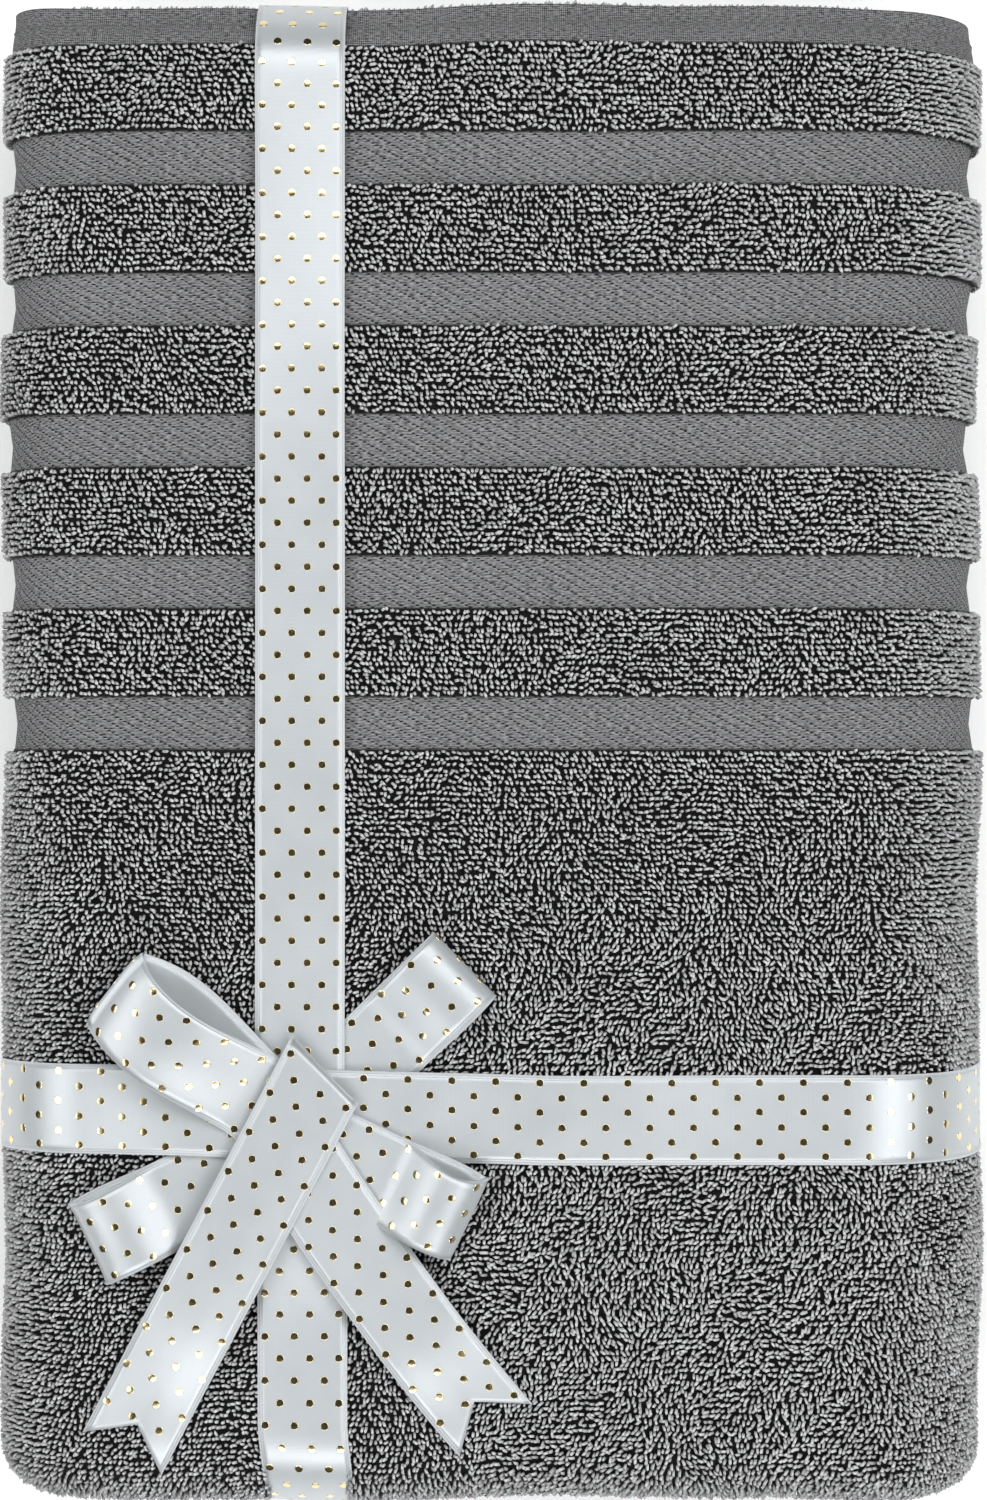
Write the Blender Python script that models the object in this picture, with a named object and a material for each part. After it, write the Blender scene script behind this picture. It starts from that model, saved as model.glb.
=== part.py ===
# A folded bath towel tied both ways with satin ribbon and a bow. Metres, +Z up, +Y towards the hem.
# The cloth is folded into quarters along its length and then into thirds across its width,
# with both side flaps behind, so that both long sides of the pack are folds.
import math

import bmesh
import bpy
from mathutils import Vector

# Folded towel
pack_width = 0.247
pack_length = 0.373
layer_pitch = 0.0055  # room that one layer of cloth takes in the stack
layer_gap = 0.0004  # air between two layers
pile_thickness = layer_pitch - layer_gap
border_thickness = 0.0016  # flat woven stripe, without loops
hem_thickness = 0.0022  # cloth turned over twice and sewn
hem_width = 0.0123
terry_stripe = 0.02206
border_stripe = 0.01273
stripe_count = 5
stripe_edge = 0.0006  # length over which the loops start
hem_droop = 0.0042  # how far the outer hem sinks towards the stack
inner_hem_droop = 0.0014
hem_bend = 0.75  # share of the hem's width over which it sinks
flap_setback = 0.008  # last flap's free edge, from the left fold
seam_rise = 0.0053  # stitching, from the hem's sewn edge
hem_setback = 0.0020  # how far the hem's edge stays inside the pack's end
thread_width = 0.0010
thread_thickness = 0.0003

# Ribbon
ribbon_width = 0.022
ribbon_thickness = 0.0004
clearance = 0.0003  # between two pieces that touch
knot_from_side = 0.0760  # from the pack's left side
knot_from_end = 0.0974  # from the pack's lower end
end_corner = 0.011  # bend of the long wrap at the pack's ends
side_corner = 0.008  # bend of the cross wrap under the left fold
hump_flat = 0.038  # how far from the knot a wrap stays up on what it crosses
hump_slope = 0.014  # length over which it comes down again
groove_ramp = 0.0006
run_step = 0.004  # between two sections where a wrap lies on the pack

# Bow, seen from above: angles in degrees from +X, distances in metres from the knot's centre.
# Each loop's root is a slanted line: one distance on its left edge and one on its right edge.
# A tail stays level as far as one distance and is down on the towel at the other.
# The distances are for a ribbon of drawn_width, and a wider ribbon makes a wider bow.
drawn_width = 0.022
loops = {
    "bow_loop_upper_left": dict(
        angle=142.1, left_root=0.0101, right_root=0.0135, tip=0.0552, offset=0.0033, height=0.0080, over=True
    ),
    "bow_loop_lower_right": dict(
        angle=-25.5, left_root=0.0140, right_root=0.0395, tip=0.0485, offset=-0.0052, height=0.0065, over=True
    ),
    "bow_loop_upper_right": dict(
        angle=44.5, left_root=0.0298, right_root=0.0298, tip=0.0544, offset=-0.0023, height=0.0062, over=False
    ),
    "bow_loop_lower_left": dict(
        angle=206.0, left_root=0.0423, right_root=0.0353, tip=0.0605, offset=0.0061, height=0.0062, over=False
    ),
}
tails = {
    "bow_tail_left": dict(
        angle=-117.9, root=0.0, tip=0.0945, offset=0.0004, notch=0.0086, level=0.041, down=0.089, on_top=True
    ),
    "bow_tail_right": dict(
        angle=-54.3, root=0.025, tip=0.0915, offset=-0.0065, notch=0.0091, level=0.044, down=0.086, on_top=False
    ),
}
crease_start = (-0.0018, 0.0187)  # fold on top of the knot, from the knot's centre
crease_end = (0.0142, 0.0024)
loop_drop = 0.0004  # how much lower a loop over the wraps lies at its tip


def widened(shape, names):
    """The shape with these distances in proportion to the ribbon's width."""
    return {name: value * bow_scale if name in names else value for name, value in shape.items()}


# Worked out
bow_scale = ribbon_width / drawn_width
loops = {name: widened(shape, ("left_root", "right_root", "tip", "offset")) for name, shape in loops.items()}
tails = {name: widened(shape, ("root", "offset", "level", "down")) for name, shape in tails.items()}
crease_start = tuple(value * bow_scale for value in crease_start)
crease_end = tuple(value * bow_scale for value in crease_end)
knot_x = -pack_width / 2 + knot_from_side
knot_y = -pack_length / 2 + knot_from_end
seam_inset = hem_width - seam_rise
slab = 4 * layer_pitch  # a quarter-folded third
skin = layer_gap / 2
pack_height = 3 * slab - 2 * skin
half_length = pack_length / 2
left_fold_x = -pack_width / 2 + slab - skin
right_fold_x = pack_width / 2 - 1.5 * slab + skin
left_fold_z = 2 * slab - skin
right_fold_z = 1.5 * slab - skin
band_thickness = 2 * ribbon_thickness  # both leaves of a loop, pressed together

under_band_z = pack_height + clearance
long_wrap_z = under_band_z + band_thickness + clearance
cross_wrap_z = long_wrap_z + ribbon_thickness + clearance
over_band_z = cross_wrap_z + ribbon_thickness + clearance
right_tail_z = over_band_z + band_thickness + clearance
left_tail_z = right_tail_z + ribbon_thickness + clearance

cross_floor = 0.0001  # under the cross wrap, where the pack's own loops touch the surface below
long_floor = cross_floor + ribbon_thickness + clearance
cross_groove = cross_floor + ribbon_thickness + clearance
long_groove = long_floor + ribbon_thickness + clearance
groove_half = ribbon_width / 2 + 2 * clearance


def material(name, colour, roughness):
    made = bpy.data.materials.new(name)
    made.use_nodes = True
    shader = made.node_tree.nodes["Principled BSDF"]
    shader.inputs["Base Color"].default_value = (*colour, 1)
    shader.inputs["Roughness"].default_value = roughness
    made.diffuse_color = (*colour, 1)
    return made


def loft(name, sections, finish, closed=False, caps=None):
    """One closed body through sections with equal numbers of points; closed joins the last to the first."""
    bm = bmesh.new()
    rings = [[bm.verts.new(point) for point in section] for section in sections]
    count = len(rings[0])
    pairs = list(zip(rings, rings[1:]))
    if closed:
        pairs.append((rings[-1], rings[0]))
    for first, second in pairs:
        for k in range(count):
            after = (k + 1) % count
            bm.faces.new((first[k], first[after], second[after], second[k]))
    if not closed:
        for ring in (rings[0], rings[-1]):
            for corners in caps or [range(count)]:
                bm.faces.new([ring[k] for k in corners])
    bmesh.ops.recalc_face_normals(bm, faces=bm.faces)
    mesh = bpy.data.meshes.new(name)
    bm.to_mesh(mesh)
    bm.free()
    mesh.shade_smooth()
    mesh.set_sharp_from_angle(angle=math.radians(35))
    mesh.materials.append(finish)
    made = bpy.data.objects.new(name, mesh)
    bpy.context.scene.collection.objects.link(made)
    return made


def smooth_step(value):
    value = min(max(value, 0), 1)
    return value * value * (3 - 2 * value)


def section_stations():
    """Places across the cloth's width, from the first flap's free edge round to the last flap's."""
    places = [("first_flap", right_fold_x - 0.001), ("first_flap", (left_fold_x + right_fold_x) / 2)]
    places += [("left_fold", math.radians(angle)) for angle in range(-90, 91, 18)]
    places += [("front", (left_fold_x + right_fold_x) / 2)]
    places += [("right_fold", math.radians(angle)) for angle in range(90, -91, -15)]
    for x in (groove_half + groove_ramp, groove_half, -groove_half, -groove_half - groove_ramp):
        places.append(("last_flap", knot_x + x))
    places.append(("last_flap", -pack_width / 2 + flap_setback))
    return places


def section_point(place, depth):
    """(x, z) of a point this deep under the stack's outer face."""
    part, where = place
    if part == "first_flap":
        return where, slab - skin + depth
    if part == "left_fold":
        radius = slab - depth
        return left_fold_x - radius * math.cos(where), left_fold_z + radius * math.sin(where)
    if part == "front":
        return where, 3 * slab - skin - depth
    if part == "right_fold":
        radius = 1.5 * slab - depth
        return right_fold_x + radius * math.cos(where), right_fold_z + radius * math.sin(where)
    return where, depth - skin


def in_long_groove(place):
    return place[0] == "last_flap" and abs(place[1] - knot_x) <= groove_half + 1e-6


def in_cross_groove(place, y):
    return place[0] in ("right_fold", "last_flap") and abs(y - knot_y) <= groove_half + 1e-6


def arc(centre_y, centre_depth, radius, start, end, steps):
    """Centre line of a fold across the length: (y, depth, outward y, outward depth)."""
    for k in range(1, steps):
        angle = math.radians(start + (end - start) * k / steps)
        out_y = math.cos(angle)
        out_depth = math.sin(angle)
        yield centre_y + radius * out_y, centre_depth + radius * out_depth, out_y, out_depth


def outer_leg():
    """The leaf with the stripes: (y, half thickness, how far it droops) from the hem to the bottom fold."""
    hem_half = hem_thickness / 2
    pile_half = pile_thickness / 2
    border_half = border_thickness / 2
    hem_start = half_length - hem_width
    leg = []
    for share in (1 - hem_setback / hem_width, 0.75, 0.6, 0.45, 0.3, 0.15):
        leg.append((hem_start + hem_width * share, hem_half, hem_droop * smooth_step(share / hem_bend)))
    edge = hem_start
    before = hem_half
    for stripe in range(stripe_count):
        for length, after in ((terry_stripe, pile_half), (border_stripe, border_half)):
            leg.append((edge + stripe_edge / 2, before, 0))
            leg.append((edge - stripe_edge / 2, after, 0))
            edge -= length
            before = after
    leg.append((edge + stripe_edge / 2, before, 0))
    leg.append((edge - stripe_edge / 2, pile_half, 0))
    for y in (groove_half + groove_ramp, groove_half, -groove_half, -groove_half - groove_ramp):
        leg.append((knot_y + y, pile_half, 0))
    return leg


def cloth_path():
    """Stations along the cloth: (y, depth, outward y, outward depth, half thickness, faces the outside)."""
    pile_half = pile_thickness / 2
    hem_half = hem_thickness / 2
    bottom_y = -half_length + slab / 2 - skin
    top_y = half_length - layer_pitch + skin
    path = []
    for y, half, droop in outer_leg():
        path.append((y, layer_pitch / 2 + droop, 0, -1, half, True))
    path.append((bottom_y, layer_pitch / 2, 0, -1, pile_half, True))
    for station in arc(bottom_y, 2 * layer_pitch, 1.5 * layer_pitch, 270, 90, 10):
        path.append((*station, pile_half, True))
    path.append((bottom_y, 3.5 * layer_pitch, 0, 1, pile_half, False))
    path.append((top_y, 3.5 * layer_pitch, 0, 1, pile_half, False))
    for station in arc(top_y, 3 * layer_pitch, layer_pitch / 2, 90, -90, 6):
        y, depth, out_y, out_depth = station
        path.append((y, depth, out_y, out_depth, pile_half, False))
    path.append((top_y, 2.5 * layer_pitch, 0, -1, pile_half, False))
    path.append((bottom_y, 2.5 * layer_pitch, 0, -1, pile_half, False))
    for y, depth, out_y, out_depth in arc(bottom_y, 2 * layer_pitch, layer_pitch / 2, 90, 270, 6):
        path.append((y, depth, -out_y, -out_depth, pile_half, False))
    path.append((bottom_y, 1.5 * layer_pitch, 0, 1, pile_half, False))
    hem_start = half_length - hem_width
    path.append((hem_start - stripe_edge / 2, 1.5 * layer_pitch, 0, 1, pile_half, False))
    for share in (0.03, 0.15, 0.3, 0.45, 0.6, 0.8):
        droop = inner_hem_droop * smooth_step(share / hem_bend)
        path.append((hem_start + hem_width * share, 1.5 * layer_pitch + droop, 0, 1, hem_half, False))
    return path


def cloth_face(place, station, side):
    """Point of the cloth on its outward side (1) or its other side (-1)."""
    y, depth, out_y, out_depth, half, outside = station
    if side > 0 and outside:
        full = pile_thickness / 2
        if in_long_groove(place):
            half = min(half, full - long_groove)
        if in_cross_groove(place, y):
            half = min(half, full - cross_groove)
    x, z = section_point(place, depth + side * half * out_depth)
    return Vector((x, y + side * half * out_y, z))


def build_towel(finish):
    path = cloth_path()
    sections = []
    for place in section_stations():
        front = [cloth_face(place, station, 1) for station in path]
        back = [cloth_face(place, station, -1) for station in reversed(path)]
        sections.append(front + back)
    return loft("folded_towel", sections, finish)


def build_seam(name, depth, finish):
    """Thread along a hem, as a thin strip that follows the cloth round both side folds."""
    y = half_length - seam_inset
    sections = []
    for place in section_stations():
        corners = []
        for across, down in ((-1, 0), (1, 0), (1, 1), (-1, 1)):
            x, z = section_point(place, depth - thread_thickness * down)
            corners.append(Vector((x, y + across * thread_width / 2, z)))
        sections.append(corners)
    return loft(name, sections, finish)


def hem_depth(layer, droop):
    """Depth of a hem's outward side, less the clearance, where its stitching comes nearest to the outside."""
    share = 1 - (seam_inset + thread_width) / hem_width
    return (layer - 0.5) * layer_pitch + droop * smooth_step(share / hem_bend) - hem_thickness / 2 - clearance


def hump(distance, rise):
    past_flat = abs(distance) - hump_flat * bow_scale
    return rise * (1 - smooth_step(past_flat / (hump_slope * bow_scale)))


def wrap_sections(path, across, half_width):
    """Flat ribbon sections round a closed path of (along, z, outward along, outward z)."""
    sections = []
    for along, z, out_along, out_z in path:
        corners = []
        for side, out in ((-1, -1), (1, -1), (1, 1), (-1, 1)):
            a = along + out * out_along * ribbon_thickness / 2
            b = z + out * out_z * ribbon_thickness / 2
            c = across + side * half_width
            corners.append((a, b, c))
        sections.append(corners)
    return sections


def corner(centre_along, centre_z, reach_along, reach_z, start, end, steps):
    points = []
    for k in range(steps + 1):
        angle = math.radians(start + (end - start) * k / steps)
        out_along = math.cos(angle)
        out_z = math.sin(angle)
        points.append((centre_along + reach_along * out_along, centre_z + reach_z * out_z, out_along, out_z))
    return points


def top_run(start, end, centre, level, rise):
    points = []
    steps = round(abs(end - start) / run_step)
    for k in range(1, steps):
        along = start + (end - start) * k / steps
        points.append((along, level + hump(along - centre, rise), 0, 1))
    return points


def build_long_wrap(finish):
    side = half_length + clearance + ribbon_thickness / 2
    top = pack_height + clearance + ribbon_thickness / 2
    bottom = long_floor + ribbon_thickness / 2
    bend = end_corner
    path = corner(side - bend, bottom + bend, bend, bend, -90, 0, 6)
    path += corner(side - bend, top - bend, bend, bend, 0, 90, 6)
    path += top_run(side - bend, bend - side, knot_y, top, long_wrap_z + ribbon_thickness / 2 - top)
    path += corner(bend - side, top - bend, bend, bend, 90, 180, 6)
    path += corner(bend - side, bottom + bend, bend, bend, 180, 270, 6)
    flat = wrap_sections(path, knot_x, ribbon_width / 2)
    sections = [[Vector((c, a, b)) for a, b, c in corners] for corners in flat]
    return loft("ribbon_wrap_long", sections, finish, closed=True)


def build_cross_wrap(finish):
    side = pack_width / 2 + clearance + ribbon_thickness / 2
    top = pack_height + clearance + ribbon_thickness / 2
    bottom = cross_floor + ribbon_thickness / 2
    middle = pack_height / 2
    reach = side - right_fold_x
    bend = side_corner
    path = corner(right_fold_x, middle, reach, middle - bottom, -90, 0, 8)
    path += corner(right_fold_x, middle, reach, top - middle, 0, 90, 8)[1:]
    path += top_run(right_fold_x, left_fold_x, knot_x, top, cross_wrap_z + ribbon_thickness / 2 - top)
    path += corner(left_fold_x, left_fold_z, side + left_fold_x, top - left_fold_z, 90, 180, 8)
    path += corner(bend - side, bottom + bend, bend, bend, 180, 270, 6)
    flat = wrap_sections(path, knot_y, ribbon_width / 2)
    sections = [[Vector((a, c, b)) for a, b, c in corners] for corners in flat]
    return loft("ribbon_wrap_cross", sections, finish, closed=True)


def plan(angle, distance, sideways):
    """(x, y) at this distance from the knot along an angle, and this far to its left."""
    turn = math.radians(angle)
    x = knot_x + distance * math.cos(turn) - sideways * math.sin(turn)
    y = knot_y + distance * math.sin(turn) + sideways * math.cos(turn)
    return Vector((x, y))


def loop_edges(shape):
    """Root and tip of a loop in plan, on its left edge and on its right edge."""
    left = shape["offset"] + ribbon_width / 2
    right = shape["offset"] - ribbon_width / 2
    angle = shape["angle"]
    roots = plan(angle, shape["left_root"], left), plan(angle, shape["right_root"], right)
    tips = plan(angle, shape["tip"], left), plan(angle, shape["tip"], right)
    return roots, tips


def loop_outline(length, height, steps=28):
    """Outer and inner side outline of a teardrop loop: (share of its length, rise above its base)."""
    steepness = 1.2
    peak_turn = 2 * math.atan(math.sqrt((1 + steepness) / 1))
    peak = math.sin(peak_turn) * math.sin(peak_turn / 2) ** steepness
    wall = ribbon_thickness / length
    root_wall = 3 * wall
    spare = height - band_thickness
    pairs = []
    for k in range(steps + 1):
        turn = 2 * math.pi * k / steps
        along = (1 - math.cos(turn)) / 2
        swell = abs(math.sin(turn)) * math.sin(turn / 2) ** steepness / peak
        before_peak = min(turn, 2 * math.pi - turn) < peak_turn
        full = swell if before_peak else 1
        middle = ribbon_thickness + spare * full / 2
        half = spare * swell / 2
        way = -1 if k <= steps / 2 else 1
        at_tip = abs(turn - math.pi) < 1e-6
        outer_rise = middle if at_tip else middle + way * (half + ribbon_thickness * tip_taper(along))
        inner_half = max(half, 0.00004)
        inner_rise = middle if at_tip else middle + way * inner_half
        pairs.append(((along, outer_rise), (root_wall + along * (1 - root_wall - wall), inner_rise)))
    return pairs


def tip_taper(along):
    """The wall turns from level to upright round the tip, so its rise fades there."""
    return math.sqrt(max(0, 1 - along**8))


def build_loop(name, shape, finish):
    roots, tips = loop_edges(shape)
    base = over_band_z if shape["over"] else under_band_z
    drop = loop_drop if shape["over"] else 0
    length = min((tips[0] - roots[0]).length, (tips[1] - roots[1]).length)
    sections = []
    for outer, inner in loop_outline(length, shape["height"]):
        corners = []
        for (along, rise), edge in ((outer, 0), (outer, 1), (inner, 1), (inner, 0)):
            place = roots[edge].lerp(tips[edge], along)
            corners.append(Vector((place.x, place.y, base + rise - drop * along**2)))
        sections.append(corners)
    made = loft(name, sections, finish, closed=True)
    set_origin(made, (roots[0] + roots[1]) / 2, base + band_thickness)
    return made


def set_origin(made, place, z):
    """Moves the object's origin to a point on its hinge and leaves its shape where it was."""
    origin = Vector((place.x, place.y, z))
    for vertex in made.data.vertices:
        vertex.co -= origin
    made.location = origin


def build_plate(name, outline, low, high, finish):
    sections = [[Vector((x, y, z)) for x, y in outline] for z in (low, high)]
    return loft(name, sections, finish)


def build_band(name, first, second, base, finish):
    """Middle of a two-lobed bow ring, from one loop's root to the other's."""
    outline = []
    for loop_name in (first, second):
        shape = loops[loop_name]
        turn = math.radians(shape["angle"])
        back = Vector((math.cos(turn), math.sin(turn))) * -clearance
        left, right = loop_edges(shape)[0]
        outline += [right + back, left + back]
    return build_plate(name, outline, base, base + band_thickness, finish)


def tail_rise(shape, distance):
    """Underside of a tail: level on the knot, then down to the towel."""
    root_z = left_tail_z if shape["on_top"] else right_tail_z
    share = smooth_step((distance - shape["level"]) / (shape["down"] - shape["level"]))
    return root_z + (under_band_z - root_z) * share


def build_tail(name, shape, finish, steps=16):
    sections = []
    for k in range(steps + 1):
        share = k / steps
        corners = []
        for level in (1, 0):
            order = (1, 0, -1) if level else (-1, 0, 1)
            for side in order:
                tip = shape["tip"] if side else shape["tip"] - shape["notch"]
                distance = shape["root"] + (tip - shape["root"]) * share
                place = plan(shape["angle"], distance, shape["offset"] + side * ribbon_width / 2)
                z = tail_rise(shape, distance) + level * ribbon_thickness
                corners.append(Vector((place.x, place.y, z)))
        sections.append(corners)
    made = loft(name, sections, finish, caps=[(0, 1, 4, 5), (1, 2, 3, 4)])
    hinge = plan(shape["angle"], shape["root"], shape["offset"])
    set_origin(made, hinge, tail_rise(shape, shape["root"]) + ribbon_thickness)
    return made


def build_knot(finish):
    """The fold on top of the knot, from its slanted crease to the left tail's root."""
    left_tail = tails["bow_tail_left"]
    angle = left_tail["angle"]
    centre = Vector((knot_x, knot_y))
    edge = ribbon_width / 2
    back = left_tail["root"] - clearance
    outline = [
        centre + Vector(crease_start),
        centre + Vector(crease_end),
        plan(angle, back, left_tail["offset"] + edge),
        plan(angle, back, left_tail["offset"] - edge),
    ]
    return build_plate("bow_knot", outline, right_tail_z, left_tail_z + ribbon_thickness, finish)


def build_tail_root(finish):
    """The right tail's hidden start, between the knot and the place where it comes into view."""
    left_tail = tails["bow_tail_left"]
    right_tail = tails["bow_tail_right"]
    edge = ribbon_width / 2
    start = left_tail["root"] + clearance
    end = right_tail["root"] - clearance
    outline = [
        plan(left_tail["angle"], start, left_tail["offset"] - edge + clearance),
        plan(left_tail["angle"], start, left_tail["offset"] + edge - clearance),
        plan(right_tail["angle"], end, right_tail["offset"] + edge),
        plan(right_tail["angle"], end, right_tail["offset"] - edge),
    ]
    top = right_tail_z + ribbon_thickness
    return build_plate("bow_tail_right_root", outline, right_tail_z, top, finish)


def build_all():
    for old in list(bpy.data.objects):
        bpy.data.objects.remove(old)
    terry = material("terry_cotton", (0.115, 0.116, 0.122), 0.95)
    thread = material("sewing_thread", (0.10, 0.10, 0.106), 0.8)
    satin = material("satin_ribbon", (0.78, 0.82, 0.85), 0.32)
    build_towel(terry)
    build_seam("hem_stitching_outer", hem_depth(1, hem_droop), thread)
    build_seam("hem_stitching_inner", hem_depth(2, inner_hem_droop), thread)
    build_long_wrap(satin)
    build_cross_wrap(satin)
    build_band("bow_band_under", "bow_loop_upper_right", "bow_loop_lower_left", under_band_z, satin)
    build_band("bow_band_over", "bow_loop_upper_left", "bow_loop_lower_right", over_band_z, satin)
    for name, shape in loops.items():
        build_loop(name, shape, satin)
    build_knot(satin)
    build_tail_root(satin)
    for name, shape in tails.items():
        build_tail(name, shape, satin)


build_all()
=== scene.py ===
# A folded bath towel tied both ways with dotted satin ribbon. Metres, +Z up, +Y towards the hems.
import math

import bpy
import numpy as np
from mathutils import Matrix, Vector


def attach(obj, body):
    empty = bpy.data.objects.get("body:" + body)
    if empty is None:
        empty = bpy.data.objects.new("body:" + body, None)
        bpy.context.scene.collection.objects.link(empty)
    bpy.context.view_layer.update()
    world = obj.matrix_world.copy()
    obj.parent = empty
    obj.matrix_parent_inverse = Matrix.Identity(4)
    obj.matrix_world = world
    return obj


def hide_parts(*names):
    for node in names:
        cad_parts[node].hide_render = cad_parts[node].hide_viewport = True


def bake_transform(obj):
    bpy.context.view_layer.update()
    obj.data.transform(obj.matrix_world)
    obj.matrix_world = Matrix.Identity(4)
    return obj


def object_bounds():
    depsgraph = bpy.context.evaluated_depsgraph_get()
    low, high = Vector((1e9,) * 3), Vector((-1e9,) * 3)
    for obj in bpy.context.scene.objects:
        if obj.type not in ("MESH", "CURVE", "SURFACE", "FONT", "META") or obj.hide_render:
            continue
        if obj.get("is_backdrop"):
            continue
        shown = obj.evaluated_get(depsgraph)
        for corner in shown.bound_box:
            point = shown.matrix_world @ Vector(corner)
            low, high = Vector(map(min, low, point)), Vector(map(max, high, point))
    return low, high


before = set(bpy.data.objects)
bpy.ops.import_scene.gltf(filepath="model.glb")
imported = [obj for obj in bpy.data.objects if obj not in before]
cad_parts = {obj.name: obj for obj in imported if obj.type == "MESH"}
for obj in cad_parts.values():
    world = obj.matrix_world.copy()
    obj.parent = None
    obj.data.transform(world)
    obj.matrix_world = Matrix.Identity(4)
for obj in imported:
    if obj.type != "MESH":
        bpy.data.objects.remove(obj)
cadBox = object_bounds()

chance = np.random.default_rng(7)
print("frame loaded, box", [round(v, 4) for corner in cadBox for v in corner])


# Camera, floor and light
studio = {
    "cameraHeight": 0.874,
    "lens": 79.0,
    "sensor": 36,
    "worldColour": (0.90, 0.95, 1.0),
    "worldStrength": 0.035,
    "boxDistance": 1.15,
    "boxes": ((0, 31, 1.02), (90, 38, 1.1), (180, 47, 1.05), (270, 45, 0.85)),  # turn, lean, share of power
    "boxSize": (1.1, 0.55),
    "boxPower": 7.1,
    "floorColour": (0.98, 0.983, 0.986),
    "floorSize": 6.0,
}


def setCamera():
    data = bpy.data.cameras.new("camera")
    data.lens = studio["lens"]
    data.sensor_width = studio["sensor"]
    data.clip_start = 0.01
    camera = bpy.data.objects.new("camera", data)
    camera.location = (0, 0, studio["cameraHeight"])
    bpy.context.scene.collection.objects.link(camera)
    bpy.context.scene.camera = camera


def setLights():
    world = bpy.data.worlds.new("studio")
    world.use_nodes = True
    back = world.node_tree.nodes["Background"]
    back.inputs["Color"].default_value = (*studio["worldColour"], 1)
    back.inputs["Strength"].default_value = studio["worldStrength"]
    bpy.context.scene.world = world
    bpy.context.scene.view_settings.view_transform = "Standard"
    for turn, lean, share in studio["boxes"]:
        light = bpy.data.lights.new("softbox", "AREA")
        light.shape = "RECTANGLE"
        light.size, light.size_y = studio["boxSize"]
        light.energy = studio["boxPower"] * share
        box = bpy.data.objects.new("softbox", light)
        tilt, around = math.radians(lean), math.radians(turn)
        aim = Vector((math.sin(around) * math.sin(tilt), math.cos(around) * math.sin(tilt), math.cos(tilt)))
        box.location = aim * studio["boxDistance"]
        box.rotation_euler = aim.to_track_quat("Z", "Y").to_euler()
        bpy.context.scene.collection.objects.link(box)


def deselect():
    for thing in list(bpy.context.selected_objects):
        thing.select_set(False)


# Materials: a socket that takes part in Python sums
class Wire:
    def __init__(self, paint, socket):
        self.paint = paint
        self.socket = socket

    def combine(self, operation, first, second=None):
        values = {0: first} if second is None else {0: first, 1: second}
        return self.paint.node("ShaderNodeMath", {"operation": operation}, values)

    def __add__(self, other):
        return self.combine("ADD", self, other)

    def __mul__(self, other):
        return self.combine("MULTIPLY", self, other)

    __radd__, __rmul__ = __add__, __mul__

    def __sub__(self, other):
        return self.combine("SUBTRACT", self, other)

    def __rsub__(self, other):
        return self.combine("SUBTRACT", other, self)

    def alone(self, operation):
        return self.combine(operation, self)

    def wave(self, pitch):
        return (self * (2 * math.pi / pitch)).alone("SINE")

    def ramp(self, low, high):
        values = {"Value": self, "From Min": low, "From Max": high}
        return self.paint.node("ShaderNodeMapRange", {"interpolation_type": "SMOOTHSTEP"}, values)


class Paint:
    def __init__(self, name, colour, roughness, metallic=0.0):
        self.material = bpy.data.materials.new(name)
        self.material.use_nodes = True
        self.tree = self.material.node_tree
        self.shader = self.tree.nodes["Principled BSDF"]
        self.shader.inputs["Base Color"].default_value = (*colour, 1)
        self.shader.inputs["Roughness"].default_value = roughness
        self.shader.inputs["Metallic"].default_value = metallic

    def node(self, kind, settings=None, values=None, output=0):
        made = self.tree.nodes.new(kind)
        for key, value in (settings or {}).items():
            setattr(made, key, value)
        for key, value in (values or {}).items():
            if isinstance(value, Wire):
                self.tree.links.new(value.socket, made.inputs[key])
            else:
                made.inputs[key].default_value = value
        return Wire(self, made.outputs[output])

    def mix(self, share, first, second):
        first = (*first, 1) if isinstance(first, tuple) else first
        second = (*second, 1) if isinstance(second, tuple) else second
        return self.node("ShaderNodeMix", {"data_type": "RGBA"}, {0: share, 6: first, 7: second}, 2)

    def feed(self, name, wire):
        self.tree.links.new(wire.socket, self.shader.inputs[name])

    def bump(self, height, strength, distance):
        values = {"Height": height, "Strength": strength, "Distance": distance}
        self.feed("Normal", self.node("ShaderNodeBump", {}, values))

    def uv(self):
        # across and along, in metres
        place = self.node("ShaderNodeUVMap", {"uv_map": "cut"})
        parts = self.tree.nodes.new("ShaderNodeSeparateXYZ")
        self.tree.links.new(place.socket, parts.inputs[0])
        return Wire(self, parts.outputs[0]), Wire(self, parts.outputs[1]), place

    def noise(self, place, scale, detail=2.0):
        values = {"Vector": place, "Scale": scale, "Detail": detail, "Roughness": 0.55}
        return self.node("ShaderNodeTexNoise", {}, values)

    def here(self):
        return self.node("ShaderNodeTexCoord", {}, {}, 3)

    def attribute(self, name):
        return self.node("ShaderNodeAttribute", {"attribute_name": name}, {}, 2)


cotton = {
    "dull": (0.1, 0.1, 0.105),
    # loop colours run from painted shade at the strands' bases to painted light at their tops
    "loopDark": (0.004, 0.004, 0.004),
    "loopLight": (0.520, 0.522, 0.528),
    # dark end of the woven pattern, and also the painted shade on the ground cloth between the loops
    "weaveDarkAndGroundShade": (0.008, 0.008, 0.008),
    "wovenLight": (0.256, 0.257, 0.262),
    "floatWidth": 0.00100,
    "floatPitch": 0.0022,
    "floatSlant": -0.25,
    "hemPitch": 0.00105,
    "grainScale": (700.0, 2600.0, 1.0),
}


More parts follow.
